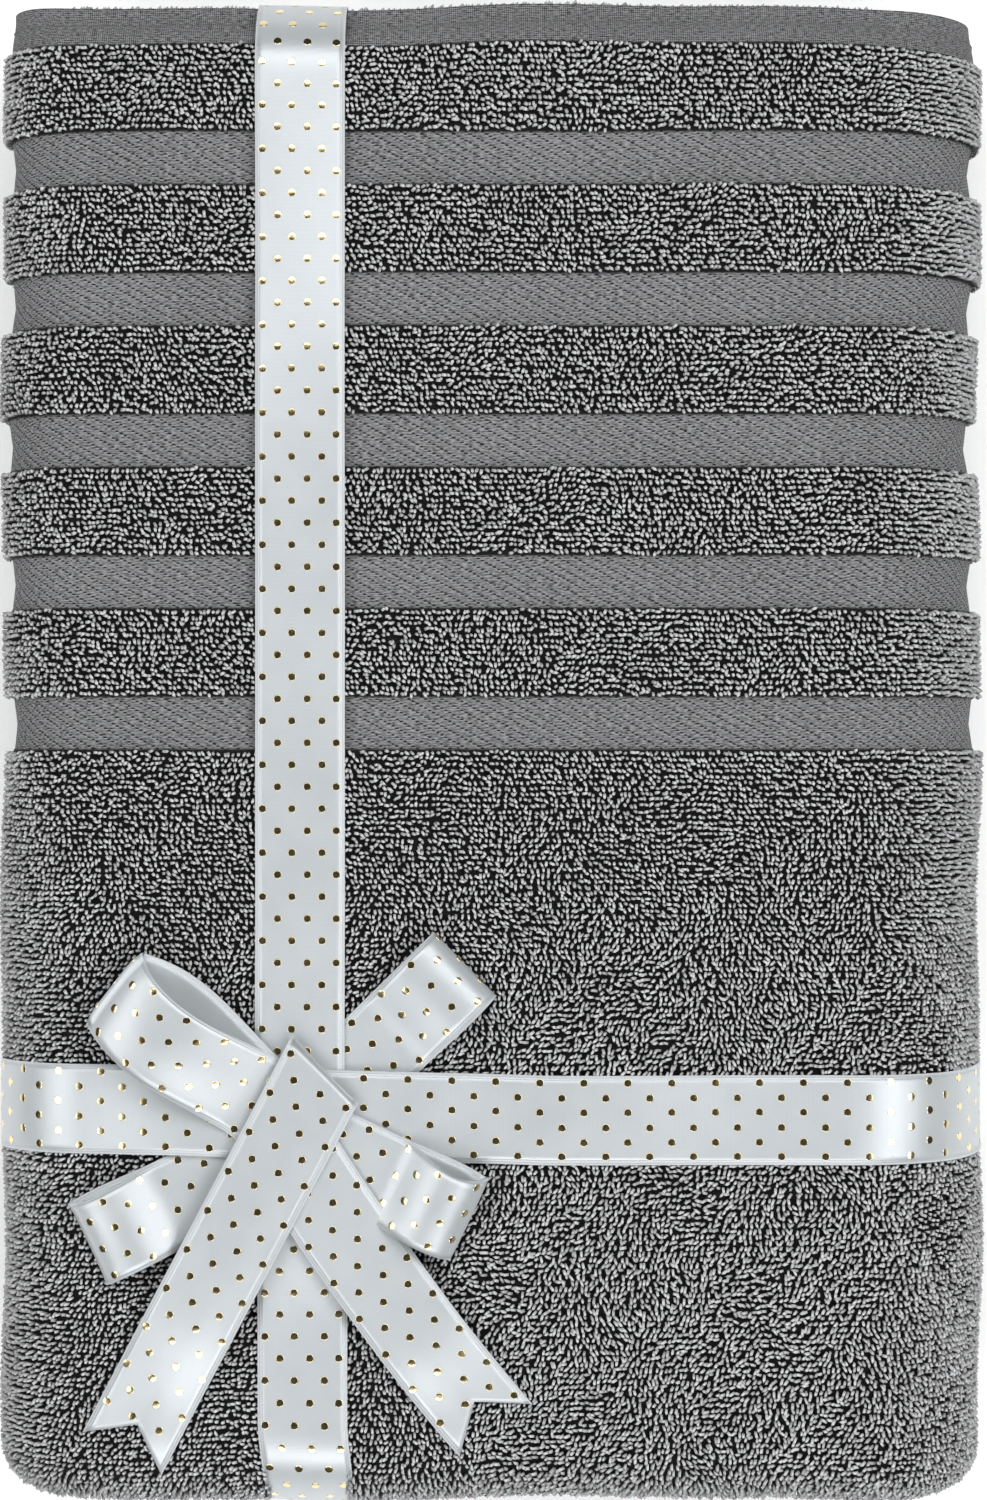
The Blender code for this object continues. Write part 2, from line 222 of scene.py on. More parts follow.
def terryPaint():
    paint = Paint("looped cotton", cotton["dull"], 0.85)
    tip, shade = paint.attribute("tip"), paint.attribute("shade")
    patch = paint.noise(paint.here(), 45.0)
    fibre = paint.noise(paint.here(), 3200.0, 1.0)
    # painted light and shade: tip carries each strand's painted shading, dark at its base and lit near its
    # top; shade, patch and fibre add random tone
    light = tip * 0.84 + shade * 0.42 + (patch - 0.5) * 0.25 + (fibre - 0.5) * 0.2 - 0.19
    paint.feed("Base Color", paint.mix(light, cotton["loopDark"], cotton["loopLight"]))
    paint.feed("Roughness", 0.9 - fibre * 0.25)
    paint.shader.inputs["Specular IOR Level"].default_value = 0.12
    return paint.material


def clothPaint():
    # woven border and hem, and painted shade on the ground cloth under the loops, by the cloth's own
    # attributes
    paint = Paint("woven cotton", cotton["dull"], 0.85)
    across, along, place = paint.uv()
    woven, hemmed = paint.attribute("woven"), paint.attribute("hemmed")
    # border: slanting rows of short dark floats, each with a light one above it
    column = across * (1 / cotton["floatWidth"])
    level = along * (1 / cotton["floatPitch"]) + column.alone("FLOOR") * cotton["floatSlant"]
    height, width = level.alone("FRACT"), column.alone("FRACT")
    middle = 1 - (width - 0.5).alone("ABSOLUTE").ramp(0.22, 0.46)
    dark = (1 - (height - 0.42).alone("ABSOLUTE").ramp(0.05, 0.11)) * middle
    pale = (1 - (height - 0.57).alone("ABSOLUTE").ramp(0.04, 0.10)) * middle
    fine = paint.node("ShaderNodeMapping", {}, {"Vector": place, "Scale": cotton["grainScale"]})
    grain = paint.noise(fine, 1.0, 2.0)
    border = 0.60 - dark * 1.0 + pale * 0.45 + (grain - 0.5) * 2.6
    # hem: small diamonds
    diamond = (across + along).wave(cotton["hemPitch"]) * (across - along).wave(cotton["hemPitch"])
    hem = 0.60 + diamond * 0.62 + (grain - 0.5) * 3.0
    weave = border * (1 - hemmed) + hem * hemmed
    patch = paint.noise(paint.here(), 30.0)
    cloth = paint.mix(weave + (patch - 0.5) * 0.2, cotton["weaveDarkAndGroundShade"], cotton["wovenLight"])
    # painted shade: outside the woven border and hem the ground cloth is near black, where shade falls
    # between the loops
    paint.feed("Base Color", paint.mix(woven, cotton["weaveDarkAndGroundShade"], cloth))
    paint.feed("Roughness", 0.92 - grain * 0.2)
    paint.bump(weave, 0.5, 0.0004)
    paint.shader.inputs["Specular IOR Level"].default_value = 0.2
    return paint.material


def threadPaint():
    paint = Paint("sewing thread", cotton["dull"], 0.7)
    twist = paint.noise(paint.here(), 2600.0, 1.0)
    paint.feed("Base Color", paint.mix(twist, (0.04, 0.04, 0.041), (0.17, 0.171, 0.175)))
    paint.bump(twist, 0.4, 0.0002)
    return paint.material


satin = {
    "plain": (0.48, 0.51, 0.53),
    "shade": (0.435, 0.472, 0.492),
    "light": (0.522, 0.542, 0.558),
    "selvedge": (0.40, 0.43, 0.45),
    "rim": (0.72, 0.74, 0.76),
    "selvedgeAt": 0.0100,  # from the middle of the ribbon
    "stitchPitch": 0.00075,
    "ribPitch": 0.00032,
}


def satinPaint():
    paint = Paint("white satin", satin["plain"], 0.34, 0.3)
    across, along, place = paint.uv()
    edge = across.alone("ABSOLUTE")  # across runs from -half width to half width
    selvedge = (edge - satin["selvedgeAt"]).alone("ABSOLUTE").ramp(0.00032, 0.00008)
    tick = along.wave(satin["stitchPitch"]) * 0.5 + 0.5
    rim = edge.ramp(0.01045, 0.0108)
    cloud = paint.noise(place, 90.0, 3.0)
    grain = paint.noise(place, 2600.0, 2.0)
    body = paint.mix(cloud * 0.6 + grain * 0.4, satin["shade"], satin["light"])
    edged = paint.mix(selvedge * (0.35 + tick * 0.5), body, satin["selvedge"])
    paint.feed("Base Color", paint.mix(rim * 0.7, edged, satin["rim"]))
    paint.feed("Roughness", 0.28 + cloud * 0.10 + rim * 0.3 + grain * 0.06)
    rib = along.wave(satin["ribPitch"])
    height = rib * 0.12 + grain * 0.25 - selvedge * (0.6 + tick * 0.8) + rim * tick * 0.8
    paint.bump(height, 0.35, 0.00012)
    for name, value in (("Sheen Weight", 0.08), ("Coat Weight", 0.06), ("Coat Roughness", 0.2)):
        paint.shader.inputs[name].default_value = value
    return paint.material


def foilPaint():
    paint = Paint("gold foil", (0.80, 0.66, 0.38), 0.16, 1.0)
    crinkle = paint.noise(paint.here(), 900.0, 2.0)
    paint.feed("Base Color", paint.mix(crinkle, (0.70, 0.57, 0.31), (0.88, 0.77, 0.50)))
    paint.feed("Roughness", 0.1 + crinkle * 0.14)
    paint.bump(crinkle, 0.35, 0.00008)
    return paint.material


def floorPaint():
    paint = Paint("pale floor", studio["floorColour"], 0.9)
    speck = paint.noise(paint.here(), 3.0)
    low = tuple(v * 0.985 for v in studio["floorColour"])
    paint.feed("Base Color", paint.mix(speck, low, studio["floorColour"]))
    return paint.material


# The folded cloth, by place across its width and along its length
cloth = {
    "pitch": 0.0055,
    "gap": 0.0004,
    "width": 0.247,
    "length": 0.373,
    "hemWidth": 0.0123,
    "hemThickness": 0.0022,
    "hemDroop": 0.0042,
    "innerDroop": 0.0014,
    "hemSetback": 0.0020,
    "borderThickness": 0.0016,
    "terryStripe": 0.02206,
    "borderStripe": 0.01273,
    "stripes": 5,
    "stripeEdge": 0.0006,
    "flapSetback": 0.008,
    "pileDepth": 0.0015,  # how far the loops stand out of the ground cloth
    "flat": (0.697, 1.489),
    "cell": 0.0045,
}
slab = 4 * cloth["pitch"]
skin = cloth["gap"] / 2
pile = cloth["pitch"] - cloth["gap"]
halfLength = cloth["length"] / 2
leftX = -cloth["width"] / 2 + slab - skin
rightX = cloth["width"] / 2 - 1.5 * slab + skin
packTop = 3 * slab - 2 * skin
frontWidth = rightX - leftX
leftArc = math.pi * slab
rightArc = math.pi * 1.5 * slab
flapWidth = rightX + cloth["width"] / 2 - cloth["flapSetback"]
firstWidth = rightX - 0.001 - leftX
acrossStart = -leftArc - firstWidth
acrossEnd = frontWidth + rightArc + flapWidth
bottomY = -halfLength + slab / 2 - skin
topY = halfLength - cloth["pitch"] + skin
hemY = halfLength - cloth["hemWidth"]
knot = (-0.0475, -0.0891)
ribbonWidth = 0.022


def smooth(value):
    value = np.clip(value, 0, 1)
    return value * value * (3 - 2 * value)


def section(across, depth):
    # x, z and outward normal of the folded stack, this deep under its outer face
    u = np.asarray(across, float)
    d = np.broadcast_to(np.asarray(depth, float), u.shape)
    leftTurn = math.pi / 2 + np.clip(u, -leftArc, 0) / leftArc * math.pi
    rightTurn = math.pi / 2 - np.clip(u - frontWidth, 0, rightArc) / rightArc * math.pi
    onFirst = u < -leftArc
    onLeft = (u >= -leftArc) & (u < 0)
    onFront = (u >= 0) & (u <= frontWidth)
    onRight = (u > frontWidth) & (u <= frontWidth + rightArc)
    places = [onFirst, onLeft, onFront, onRight]
    last = u - frontWidth - rightArc
    leftReach = slab - d
    rightReach = 1.5 * slab - d
    x = np.select(
        places,
        [
            leftX - leftArc - u,
            leftX - leftReach * np.cos(leftTurn),
            leftX + u,
            rightX + rightReach * np.cos(rightTurn),
        ],
        rightX - last,
    )
    z = np.select(
        places,
        [
            slab - skin + d,
            2 * slab - skin + leftReach * np.sin(leftTurn),
            3 * slab - skin - d,
            1.5 * slab - skin + rightReach * np.sin(rightTurn),
        ],
        d - skin,
    )
    nx = np.select(places, [0 * u, -np.cos(leftTurn), 0 * u, np.cos(rightTurn)], 0)
    nz = np.select(places, [0 * u - 1, np.sin(leftTurn), 0 * u + 1, np.sin(rightTurn)], -1)
    return x, z, nx, nz


def runOf(points):
    # distance travelled along a line of points
    return np.concatenate([[0], np.cumsum(np.linalg.norm(np.diff(points, axis=0), axis=1))])


def borderShare(y):
    # one in the middle of a woven stripe, none in the terry
    period = cloth["terryStripe"] + cloth["borderStripe"]
    place = (hemY - y) % period
    middle = cloth["terryStripe"] + cloth["borderStripe"] / 2
    away = np.minimum(np.abs(place - middle), np.abs(place - middle + period))
    inside = (y < hemY) & (y > hemY - cloth["stripes"] * period - 0.002)
    return inside * (1 - smooth((away - cloth["borderStripe"] / 2 + 0.004) / 0.006))


def settle(points):
    # soft waves and slumped shoulders, the same for the cloth and for what lies on it
    x, y, z = points[:, 0], points[:, 1], points[:, 2]
    ends = smooth((np.abs(y) - 0.168) / 0.024)
    left = smooth((-x - 0.082) / 0.043)
    right = smooth((x - 0.086) / 0.040)
    wave = np.sin(58 * x + 21 * y + 1.3) + np.sin(-33 * x + 66 * y + 0.4) + np.sin(88 * x - 41 * y + 2.1)
    sag = 1 - 0.075 * ends - 0.05 * left - 0.02 * right
    lift = np.clip(z / packTop, 0, 1)
    moved = np.empty_like(points)
    side = np.sin(47 * y + 0.8) + 0.6 * np.sin(103 * y + 2.0)
    end = np.sin(39 * x + 0.5) + 0.5 * np.sin(91 * x + 1.0)
    bulge = np.sin(np.clip(z / packTop, 0, 1) * math.pi)
    outer = smooth((np.abs(x) - 0.09) / 0.03)
    moved[:, 0] = x + (0.0006 * side - 0.0013 * np.sign(x) * borderShare(y)) * outer * bulge
    moved[:, 1] = y + 0.0007 * end * smooth((np.abs(y) - 0.15) / 0.03)
    moved[:, 2] = np.maximum(z * sag + 0.0004 * wave * lift * (1 - ends), 0.00005)
    return moved


def legStations():
    # outer leaf from hem to bottom fold: y, half thickness, droop, woven, hemmed
    hemHalf = cloth["hemThickness"] / 2
    borderHalf = cloth["borderThickness"] / 2
    ground = pile / 2 - cloth["pileDepth"]
    stations = []
    for share in np.linspace(1 - cloth["hemSetback"] / cloth["hemWidth"], 0.04, 12):
        droop = cloth["hemDroop"] * float(smooth(share / 0.75))
        stations.append((hemY + cloth["hemWidth"] * share, hemHalf, droop, 1, 1))
    edge = hemY
    before = (hemHalf, 1, 1)
    ease = cloth["stripeEdge"] / 2
    for stripe in range(cloth["stripes"]):
        pair = ((cloth["terryStripe"], (ground, 0, 0)), (cloth["borderStripe"], (borderHalf, 1, 0)))
        for length, after in pair:
            stations.append((edge + ease, before[0], 0, before[1], before[2]))
            stations.append((edge - ease, after[0], 0, after[1], after[2]))
            steps = int(length / cloth["cell"])
            for k in range(1, steps):
                stations.append((edge - length * k / steps, after[0], 0, after[1], after[2]))
            edge -= length
            before = after
    stations.append((edge + ease, before[0], 0, before[1], before[2]))
    stations.append((edge - ease, ground, 0, 0, 0))
    steps = int((edge - bottomY) / cloth["cell"])
    for k in range(1, steps):
        stations.append((edge - (edge - bottomY) * k / steps, ground, 0, 0, 0))
    return stations


def clothPath():
    # stations along the cloth: y, depth, outward y, outward depth, half out, half in, woven, hemmed
    half = pile / 2
    ground = half - cloth["pileDepth"]
    p = cloth["pitch"]
    path = []
    for y, out, droop, woven, hemmed in legStations():
        path.append((y, p / 2 + droop, 0, -1, out, min(out, half), woven, hemmed))

    def bend(centreY, centreDepth, radius, start, end, steps, way, out):
        for k in range(steps + 1):
            angle = math.radians(start + (end - start) * k / steps)
            oy, od = math.cos(angle), math.sin(angle)
            place = centreY + radius * oy, centreDepth + radius * od
            path.append((*place, way * oy, way * od, out, half, 0, 0))

    def run(startY, endY, depth, way, steps):
        for k in range(1, steps):
            path.append((startY + (endY - startY) * k / steps, depth, 0, way, half, half, 0, 0))

    bend(bottomY, 2 * p, 1.5 * p, 270, 90, 16, 1, ground)
    run(bottomY, topY, 3.5 * p, 1, 24)
    bend(topY, 3 * p, p / 2, 90, -90, 10, 1, ground)
    run(topY, bottomY, 2.5 * p, -1, 24)
    bend(bottomY, 2 * p, p / 2, 90, 270, 8, -1, half)
    run(bottomY, hemY - 0.0003, 1.5 * p, 1, 24)
    path.append((hemY - 0.0003, 1.5 * p, 0, 1, half, half, 0, 0))
    for share in (0.02, 0.12, 0.24, 0.36, 0.48, 0.6, 0.75, 0.88):
        droop = cloth["innerDroop"] * float(smooth(share / 0.75))
        hemHalf = cloth["hemThickness"] / 2
        path.append((hemY + cloth["hemWidth"] * share, 1.5 * p + droop, 0, 1, hemHalf, hemHalf, 1, 1))
    return np.array(path)


def acrossStations():
    cell = cloth["cell"]
    parts = [np.linspace(acrossStart, -leftArc, 14, endpoint=False)]
    parts.append(np.linspace(-leftArc, 0, 30, endpoint=False))
    parts.append(np.linspace(0, frontWidth, int(frontWidth / cell), endpoint=False))
    parts.append(np.linspace(frontWidth, frontWidth + rightArc, 34, endpoint=False))
    parts.append(np.linspace(frontWidth + rightArc, acrossEnd, 26))
    return np.concatenate(parts)


def makeMesh(name, points, quads, triangles=None):
    groups = [(np.asarray(quads, int).reshape(-1, 4), 4)]
    if triangles is not None and len(triangles):
        groups.append((np.asarray(triangles, int).reshape(-1, 3), 3))
    corners = np.concatenate([g.ravel() for g, n in groups])
    counts = np.concatenate([np.full(len(g), n) for g, n in groups])
    starts = np.concatenate([[0], np.cumsum(counts)[:-1]])
    mesh = bpy.data.meshes.new(name)
    mesh.vertices.add(len(points))
    mesh.vertices.foreach_set("co", np.asarray(points, np.float32).ravel())
    mesh.loops.add(len(corners))
    mesh.loops.foreach_set("vertex_index", corners.astype(np.int32))
    mesh.polygons.add(len(counts))
    mesh.polygons.foreach_set("loop_start", starts.astype(np.int32))
    mesh.update(calc_edges=True)
    mesh.validate()
    mesh.shade_smooth()
    made = bpy.data.objects.new(name, mesh)
    bpy.context.scene.collection.objects.link(made)
    return made


def cornerVertices(mesh):
    index = np.empty(len(mesh.loops), np.int32)
    mesh.loops.foreach_get("vertex_index", index)
    return index


def writeUv(mesh, name, values):
    layer = mesh.uv_layers.new(name=name)
    layer.uv.foreach_set("vector", np.asarray(values, np.float32).ravel())


def writeValue(mesh, name, values):
    layer = mesh.attributes.new(name, "FLOAT", "POINT")
    layer.data.foreach_set("value", np.asarray(values, np.float32))


def sideRelief(u):
    # the hem sinks less where it goes round a fold, and more under the ribbon
    pressed = 1 - smooth((np.abs(leftX + u - knot[0]) - 0.0105) / 0.004)
    return 0.8 * (smooth(-u / 0.02) + smooth((u - frontWidth) / 0.02)) - 0.6 * pressed


def makeCloth(finish):
    path = clothPath()
    stations = acrossStations()
    rows, columns = len(stations), len(path)
    y, depth, oy, od = (path[:, k][None, :] for k in range(4))
    out, inside = path[:, 4][None, :], path[:, 5][None, :]
    sides = []
    for way, half in ((1, out), (-1, inside)):
        sink = (depth - cloth["pitch"] / 2) * (path[:, 7][None, :] > 0.5) * (od < 0)
        d = depth + way * half * od - sink * sideRelief(stations)[:, None]
        u = np.broadcast_to(stations[:, None], (rows, columns))
        x, z, nx, nz = section(u, d)
        yy = np.broadcast_to(y + way * half * oy, (rows, columns))
        sides.append(np.stack([x, yy, z], axis=-1).reshape(-1, 3))
    points = settle(np.concatenate(sides))
    grid = np.arange(rows * columns).reshape(rows, columns)
    front = np.stack([grid[:-1, :-1], grid[1:, :-1], grid[1:, 1:], grid[:-1, 1:]], axis=-1).reshape(-1, 4)
    back = front[:, ::-1] + rows * columns
    other = grid + rows * columns
    rims = []
    edges = [(grid[0], other[0]), (other[-1], grid[-1])]
    edges += [(other[:, 0], grid[:, 0]), (grid[:, -1], other[:, -1])]
    for line, mate in edges:
        rims.append(np.stack([line[:-1], line[1:], mate[1:], mate[:-1]], axis=-1))
    quads = np.concatenate([front, back] + rims)
    made = makeMesh("towelCloth", points, quads)
    selvedge = np.minimum(stations - stations[0], stations[-1] - stations) < 0.0005
    woven = np.maximum(path[:, 6][None, :], selvedge[:, None]).ravel()
    hemmed = np.broadcast_to(path[:, 7][None, :], (rows, columns)).ravel()
    writeValue(made.data, "woven", np.tile(woven, 2))
    writeValue(made.data, "hemmed", np.tile(hemmed, 2))
    runs = runOf(path[:, :2])
    flatU = np.broadcast_to((stations - stations[0])[:, None], (rows, columns)).ravel()
    flatV = np.broadcast_to(runs[None, :], (rows, columns)).ravel()
    index = cornerVertices(made.data)
    u = np.tile(flatU, 2)[index]
    v = np.tile(flatV, 2)[index]
    writeUv(made.data, "cut", np.stack([u, v], axis=-1))
    half = (index >= rows * columns).astype(float)
    wide, long = flatU.max(), flatV.max()
    spread = np.stack([(u / wide) * 0.49 + half * 0.5 + 0.003, v / long * 0.99 + 0.005], axis=-1)
    writeUv(made.data, "OFBake", spread)
    made.data.materials.append(finish)
    return made


def tubeFaces(rings, sides):
    # quads round a stack of rings, and triangles from the last ring to the point after it
    pairs = [(k * sides + s, k * sides + (s + 1) % sides) for k in range(rings) for s in range(sides)]
    quads = [(a, b, b + sides, a + sides) for a, b in pairs[:-sides]]
    return quads, [(a, b, rings * sides) for a, b in pairs[-sides:]]


def copies(faces, count, each):
    # the same faces again for every copy of a shape of this many points
    return (np.arange(count)[:, None, None] * each + np.array(faces)[None]).reshape(-1, len(faces[0]))


# Terry loops: one strand of yarn that stands up, leans over and dips back
loop = {
    "rowPitch": 0.00143,
    "spacing": 0.00128,
    "scatter": 0.00020,
    "rise": (-0.00020, 0.00118, 0.00172, 0.00112),
    "reach": (0.0, 0.00010, 0.00064, 0.00134),
    "thickness": (0.00028, 0.00048, 0.00050, 0.0),
    # painted shade and light up each strand: dark at its base in the ground, lightest near the top, darker
    # again at its end
    "light": (0.1, 0.72, 1.0, 0.6),  # up the strand
    "mostTriangles": 185000,
    "ribbonKeepOut": 0.0096,
}


def strand(sides):
    # offsets along its lean, across it and up, the painted light and shade of each point, faces and their
    # map
    rise, reach, thick = loop["rise"], loop["reach"], loop["thickness"]
    offsets, tips = [], []
    for k in range(3):
        before = max(k - 1, 0)
        slope = Vector((reach[k + 1] - reach[before], rise[k + 1] - rise[before])).normalized()
        for s in range(sides):
            turn = 2 * math.pi * (s + 0.5) / sides
            wide, deep = math.cos(turn) * thick[k], math.sin(turn) * thick[k]
            offsets.append((reach[k] - slope.y * deep, wide, rise[k] + slope.x * deep))
            tips.append(loop["light"][k])
    offsets.append((reach[3], 0.0, rise[3]))
    tips.append(loop["light"][3])
    quadMap = [((s, k), (s + 1, k), (s + 1, k + 1), (s, k + 1)) for k in range(2) for s in range(sides)]
    triangleMap = [((s, 2), (s + 1, 2), (s + 0.5, 3)) for s in range(sides)]
    maps = [np.array(m) * np.array([1 / sides, 1 / 3]) for m in (quadMap, triangleMap)]
    return np.array(offsets), np.array(tips), (*tubeFaces(3, sides), *maps)


def rowAcross(depth, spacing, start=None, end=None):
    # places across one row, evenly spaced on the folded stack at this depth
    start = acrossStart if start is None else start
    end = acrossEnd if end is None else end
    samples = np.linspace(start, end, 1200)
    x, z, nx, nz = section(samples, depth)
    length = runOf(np.stack([x, z], axis=-1))
    count = int(length[-1] / spacing)
    wanted = (np.arange(count) + chance.uniform(0, 1)) * spacing + chance.normal(0, spacing * 0.17, count)
    return np.interp(wanted, length, samples)


def leanField(u, v):
    # the way in which the loops lie, in patches: angle from +across towards +along
    wave = (
        np.sin(95 * u + 40 * v + 0.7)
        + np.sin(-70 * u + 120 * v + 2.2)
        + 0.8 * np.sin(210 * u + 160 * v + 4.0)
        + 0.7 * np.sin(-190 * u + 260 * v + 1.1)
        + 0.5 * np.sin(430 * u - 350 * v + 0.3)
    )
    low = smooth((-v - 0.01) / 0.07)
    base = -38 - low * (88 + 24 * smooth((0.07 - u) / 0.06))
    return np.radians(base + 24 * wave) + chance.normal(0, 0.48, len(u))


def plant(rows, sides, size=1.0):
    # strands standing on the ground cloth; a row holds across, y, depth, outward y and outward depth
    u, y, depth, oy, od = (np.concatenate([r[k] for r in rows]) for k in range(5))
    x, z, nx, nz = section(u, depth)
    base = np.stack([x, y, z], axis=-1)
    normal = np.stack([-od * nx, oy, -od * nz], axis=-1)
    normal /= np.linalg.norm(normal, axis=1)[:, None]
    tangentU = np.stack([nz, np.zeros_like(nx), -nx], axis=-1)
    tangentV = np.cross(normal, tangentU)
    angle = leanField(u, y - oy * halfLength * 0.1)  # the patches go on round the end folds
    lean = tangentU * np.cos(angle)[:, None] + tangentV * np.sin(angle)[:, None]
    wide = np.cross(normal, lean)
    offsets, tips, faces = strand(sides)
    n = len(u)
    low = smooth((-y - 0.01) / 0.07)
    long = size * chance.uniform(0.72, 1.3, n) * (0.9 + 0.2 * low * smooth((u - 0.06) / 0.06))
    thick = size * chance.uniform(0.88, 1.1, n) * (1 - 0.10 * smooth((-y + 0.03) / 0.08))
    high = chance.uniform(0.84, 1.12, n) * (0.5 + 0.5 * size)
    points = base[:, None, :]
    for k, (scale, way) in enumerate(((long, lean), (thick, wide), (high, normal))):
        points = points + (offsets[None, :, k] * scale[:, None])[..., None] * way[:, None, :]
    shade = chance.uniform(0, 1, n)
    return {
        "points": points,
        "tips": np.broadcast_to(tips, (n, len(tips))),
        "shade": np.broadcast_to(shade[:, None], (n, len(tips))),
        "faces": faces,
        "order": y,
    }


def carpetPieces(name, planted, finish):
    # one planted carpet, cut along its length into pieces of a size that a mesh can have
    quads, triangles, *maps = planted["faces"]
    order = np.argsort(planted["order"])
    each = len(planted["tips"][0])
    parts = max(1, math.ceil(len(order) * (len(quads) * 2 + len(triangles)) / loop["mostTriangles"]))
    pieces = []
    for number, chosen in enumerate(np.array_split(order, parts)):
        count = len(chosen)
        points = settle(planted["points"][chosen].reshape(-1, 3))
        faces = copies(quads, count, each), copies(triangles, count, each)
        made = makeMesh(f"{name}{number + 1}", points, *faces)
        # the strand's painted light and shade, read by the terry material as tip
        writeValue(made.data, "tip", planted["tips"][chosen].ravel())
        writeValue(made.data, "shade", planted["shade"][chosen].ravel())
        grid = math.ceil(math.sqrt(count))
        corner = np.stack([np.arange(count) % grid, np.arange(count) // grid], axis=-1)[:, None, None, :]
        bake = [(corner + 0.08 + 0.84 * m[None]).reshape(-1, 2) / grid for m in maps]
        writeUv(made.data, "OFBake", np.concatenate(bake))
        made.data.materials.append(finish)
        pieces.append(made)
    return pieces


def drift(y):
    # how far the long wrap lies to the right near its lower end
    return 0.0006 * smooth((-y - 0.09) / 0.03) + 0.0012 * smooth((-y - 0.164) / 0.016)


def underRibbon(u, y):
    # true where a wrap presses the loops flat
    keep = loop["ribbonKeepOut"]
    x, z, nx, nz = section(u, 0)
    outside = (u > -leftArc) | (u < acrossStart)
    upright = outside & (np.abs(nz) > 0.99) & (np.abs(x - knot[0] - drift(y)) < keep)
    level = outside & (np.abs(y - knot[1]) < keep)
    return upright | level


def terryRows():
    # rows of the outer leaf between hem and bottom fold, without the woven stripes
    pitch = loop["rowPitch"]
    edge = hemY
    ranges = []
    for stripe in range(cloth["stripes"]):
        ranges.append((edge - 0.0002, edge - cloth["terryStripe"] + 0.0004))
        edge -= cloth["terryStripe"] + cloth["borderStripe"]
    ranges.append((edge - 0.0002, bottomY))
    places = []
    for high, low in ranges:
        count = int(round((high - low) / pitch))
        places += [high - (high - low) * (k + 0.5) / count for k in range(count)]
    return places


def makeTerry(finish):
    ground = cloth["pileDepth"] + skin
    frontRows, foldRows, underRows, endRows = [], [], [], []

    def add(rows, u, y, depth, oy, od):
        keep = ~underRibbon(u, y)
        u, y, depth, oy, od = (np.broadcast_to(v, u.shape)[keep] for v in (u, y, depth, oy, od))
        rows.append((u, y, depth, oy, od))

    def scatter(y, count):
        return y + chance.normal(0, loop["scatter"], count)

    for number, y in enumerate(terryRows()):
        u = rowAcross(ground, loop["spacing"], -leftArc, frontWidth + rightArc)
        onTop = (u > -0.03) & (u < frontWidth + 0.04)
        add(frontRows, u[onTop], scatter(y, onTop.sum()), ground, 0, -1)
        add(foldRows, u[~onTop], scatter(y, (~onTop).sum()), ground, 0, -1)
        if number % 3 != 2:
            u = rowAcross(ground, loop["spacing"] * 1.45, frontWidth + rightArc, acrossEnd)
            add(underRows, u, scatter(y, len(u)) + (0.0005 if number % 3 else -0.0002), ground, 0, -1)
    p = cloth["pitch"]
    ends = ((bottomY, 2 * p, 2 * p, 270, 90, 22), (topY, 3 * p, p, 90, -90, 11))
    for centreY, centreDepth, radius, start, end, count in ends:
        reach = radius - ground
        for k in range(count):
            angle = math.radians(start + (end - start) * (k + 0.5) / count)
            oy, od = math.cos(angle), math.sin(angle)
            depth = centreDepth + reach * od
            u = rowAcross(depth, loop["spacing"] * 1.1)
            add(endRows, u, scatter(centreY + reach * oy, len(u)), depth, oy, od)
    pieces = carpetPieces("terryTop", plant(frontRows, 4), finish)
    pieces += carpetPieces("terryFold", plant(foldRows, 3, 1.02), finish)
    pieces += carpetPieces("terryUnder", plant(underRows, 3, 1.3), finish)
    pieces += carpetPieces("terryEnd", plant(endRows, 3, 1.05), finish)
    return pieces


# Hem stitching: short locked stitches sunk in the hem
stitch = {
    "length": 0.0024,
    "gap": 0.0004,
    "radius": 0.00028,
    "inset": 0.0070,
    "ends": 0.002,
    "rings": 5,
    "sides": 6,
}


def makeStitches(name, layer, droop, finish):
    start, end = acrossStart + stitch["ends"], acrossEnd - stitch["ends"]
    share = 1 - stitch["inset"] / cloth["hemWidth"]
    sink = droop * float(smooth(share / 0.75))
    depth = (layer - 0.5) * cloth["pitch"] + sink - cloth["hemThickness"] / 2
    pitch = stitch["length"] + stitch["gap"]
    places = rowAcross(depth, pitch, start, end)
    samples = np.linspace(start, end, 1500)
    relief = sink if layer == 1 else 0.0
    depth = depth - relief * sideRelief(samples)
    sx, sz, nx, nz = section(samples, depth)
    run = runOf(np.stack([sx, sz], axis=-1))
    middle = np.interp(places, samples, run)
    rings, sides = stitch["rings"], stitch["sides"]
    points = []
    y = halfLength - stitch["inset"]
    for m in middle:
        for k in range(rings):
            t = k / (rings - 1) * 2 - 1
            radius = stitch["radius"] * math.sqrt(max(0.05, 1 - t**4))
            u = np.interp(m + t * stitch["length"] / 2, run, samples)
            x, z, nx, nz = (float(v) for v in section(np.array(u), np.interp(u, samples, depth)))
            sink = stitch["radius"] * (0.2 - 1.1 * t * t)
            for s in range(sides):
                turn = 2 * math.pi * s / sides
                up = sink + radius * math.cos(turn)
                points.append((x + nx * up, y + radius * math.sin(turn), z + nz * up))
    faces = tubeFaces(rings, sides)[0]
    for base in (0, (rings - 1) * sides):
        faces += [(base, base + 1, base + 2, base + 3), (base + 3, base + 4, base + 5, base)]
    made = makeMesh(name, settle(np.array(points)), copies(faces, len(middle), rings * sides))
    outward(made)
    made.data.materials.append(finish)
    return made


def outward(made):
    deselect()
    bpy.context.view_layer.objects.active = made
    made.select_set(True)
    bpy.ops.object.mode_set(mode="EDIT")
    bpy.ops.mesh.select_all(action="SELECT")
    bpy.ops.mesh.normals_make_consistent(inside=False)
    bpy.ops.object.mode_set(mode="OBJECT")
    made.select_set(False)


